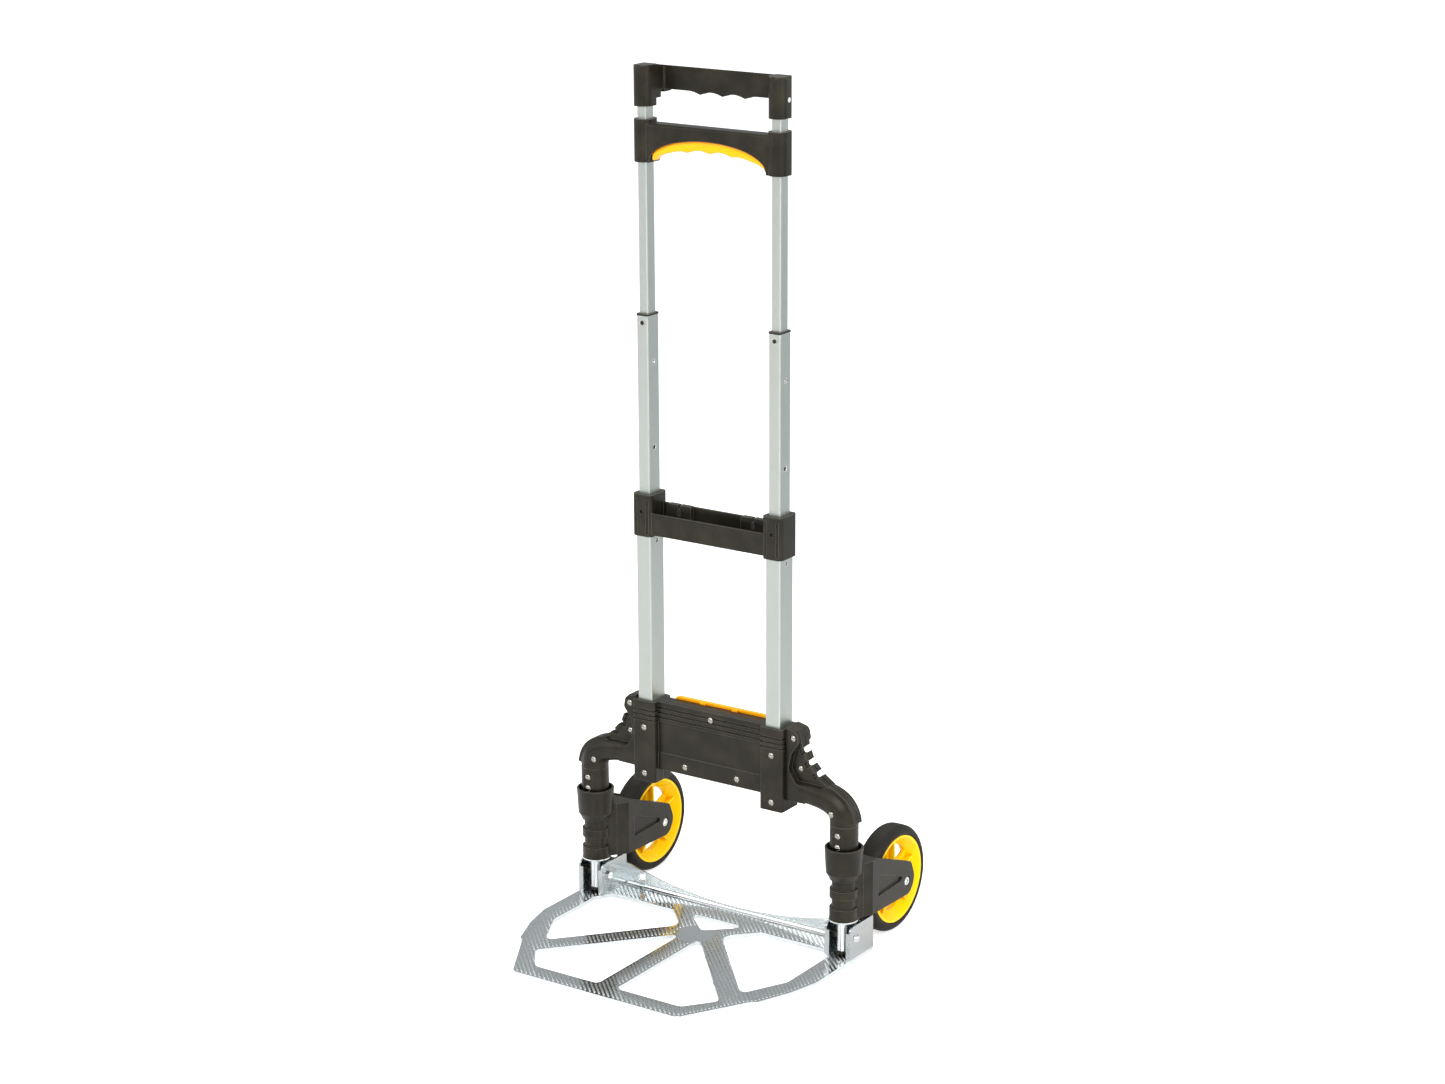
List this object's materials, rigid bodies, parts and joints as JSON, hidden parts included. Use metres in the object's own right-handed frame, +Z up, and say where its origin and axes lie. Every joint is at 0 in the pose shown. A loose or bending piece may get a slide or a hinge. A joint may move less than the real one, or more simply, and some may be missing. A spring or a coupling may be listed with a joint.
{
  "type": "folding hand truck",
  "caption": "Folding hand truck: telescopic handle on two rails, toe plate that folds up, wheels on forks that swing in behind it.",
  "frame": {"origin": "on the floor, under the middle of the whole truck's box", "axes": "+X to the truck's left-hand side as seen from the front, +Y from the toe plate back to the wheels, +Z up"},
  "size_m": [0.3932, 0.4131, 0.997],
  "materials": {
    "plastic_black": "fine-grained moulded black, satin",
    "rail_alloy": "satin anodised extrusion",
    "plate_zinc": "bright zinc plate with fine slanting ribs",
    "steel_bright": "bright zinc plate",
    "plastic_yellow": "smooth moulded yellow",
    "tyre_rubber": "smooth matt dark grey rubber",
    "bush_steel": "plain steel",
    "spring_steel": "drawn wire",
    "screw_black": "blackened"
  },
  "bodies": {
    "frame": {"lower_rail_left": "rail_alloy", "lower_rail_right": "rail_alloy", "rail_bush_left": "plastic_black", "rail_bush_right": "plastic_black", "housing_front_shell": "plastic_black", "housing_rear_shell": "plastic_black", "rear_cover": "plastic_yellow", "housing_rivets": "steel_bright", "arm_front_shell_left": "plastic_black", "arm_front_shell_right": "plastic_black", "arm_rear_shell_left": "plastic_black", "arm_rear_shell_right": "plastic_black", "arm_rivets": "steel_bright", "crossbar": "plastic_black", "crossbar_screws": "screw_black", "leg_spigot_left": "plastic_black", "leg_spigot_right": "plastic_black", "leg_tube_left": "steel_bright", "leg_tube_right": "steel_bright", "leg_washers": "steel_bright", "leg_foot_left": "plastic_black", "leg_foot_right": "plastic_black", "spigot_rivets": "steel_bright"},
    "middle_stage": {"middle_rail_left": "rail_alloy", "middle_rail_right": "rail_alloy", "middle_collar_left": "plastic_black", "middle_collar_right": "plastic_black", "middle_lock_block_left": "plastic_black", "middle_lock_block_right": "plastic_black", "middle_lock_springs": "spring_steel"},
    "middle_lock": {"middle_lock_pins": "steel_bright"},
    "handle_stage": {"upper_rail_left": "rail_alloy", "upper_rail_right": "rail_alloy", "top_handle": "plastic_black", "lower_handle": "plastic_black", "handle_screws": "steel_bright", "upper_lock_block_left": "plastic_black", "upper_lock_block_right": "plastic_black", "upper_lock_springs": "spring_steel"},
    "release": {"release_trigger": "plastic_yellow", "release_rods": "steel_bright"},
    "upper_lock": {"upper_lock_pins": "steel_bright"},
    "toe": {"toe_plate": "plate_zinc", "hinge_bracket_left": "plate_zinc", "hinge_bracket_right": "plate_zinc", "hinge_pin_left": "steel_bright", "hinge_pin_right": "steel_bright", "hinge_spacers": "plastic_black"},
    "fork_assembly_left": {"fork_left": "plastic_black", "axle_left": "steel_bright"},
    "wheel_left": {"tyre_left": "tyre_rubber", "rim_left": "plastic_yellow", "wheel_bush_left": "bush_steel"},
    "fork_assembly_right": {"fork_right": "plastic_black", "axle_right": "steel_bright"},
    "wheel_right": {"tyre_right": "tyre_rubber", "rim_right": "plastic_yellow", "wheel_bush_right": "bush_steel"}
  },
  "joints": [
    {"name": "middle_slide", "type": "slide", "parent": "frame", "child": "middle_stage", "axis": [0, 0, 1], "range_m": [-0.194, 0]},
    {"name": "middle_lock_press", "type": "slide", "parent": "middle_stage", "child": "middle_lock", "axis": [-1, 0, 0], "range_m": [0, 0.002], "stiffness_N_per_m": 400, "springref_m": -0.002},
    {"name": "handle_slide", "type": "slide", "parent": "middle_stage", "child": "handle_stage", "axis": [0, 0, 1], "range_m": [-0.165, 0]},
    {"name": "trigger_squeeze", "type": "slide", "parent": "handle_stage", "child": "release", "axis": [0, 0, 1], "range_m": [0, 0.005], "stiffness_N_per_m": 600, "springref_m": -0.004},
    {"name": "upper_lock_pull", "type": "slide", "parent": "handle_stage", "child": "upper_lock", "axis": [-1, 0, 0], "range_m": [0, 0.002]},
    {"name": "toe_fold", "type": "hinge", "parent": "frame", "child": "toe", "pos_m": [0, 0.03945, 0.0275], "axis": [-1, 0, 0], "range_deg": [0, 90]},
    {"name": "fork_swing_right", "type": "hinge", "parent": "frame", "child": "fork_assembly_right", "pos_m": [0.174, 0.03945, 0.1], "axis": [0, 0, 1], "range_deg": [0, 90]},
    {"name": "fork_swing_left", "type": "hinge", "parent": "frame", "child": "fork_assembly_left", "pos_m": [-0.174, 0.03945, 0.1], "axis": [0, 0, -1], "range_deg": [0, 90]},
    {"name": "wheel_spin_right", "type": "hinge", "parent": "fork_assembly_right", "child": "wheel_right", "pos_m": [0.171, 0.14305, 0.0635], "axis": [-1, 0, 0], "continuous": true},
    {"name": "wheel_spin_left", "type": "hinge", "parent": "fork_assembly_left", "child": "wheel_left", "pos_m": [-0.171, 0.14305, 0.0635], "axis": [-1, 0, 0], "continuous": true}
  ],
  "couplings": [
    {"joint": "upper_lock_pull", "follows": "trigger_squeeze", "ratio": 0.4},
    {"joint": "fork_swing_right", "follows": "toe_fold", "ratio": 1},
    {"joint": "fork_swing_left", "follows": "toe_fold", "ratio": 1}
  ]
}
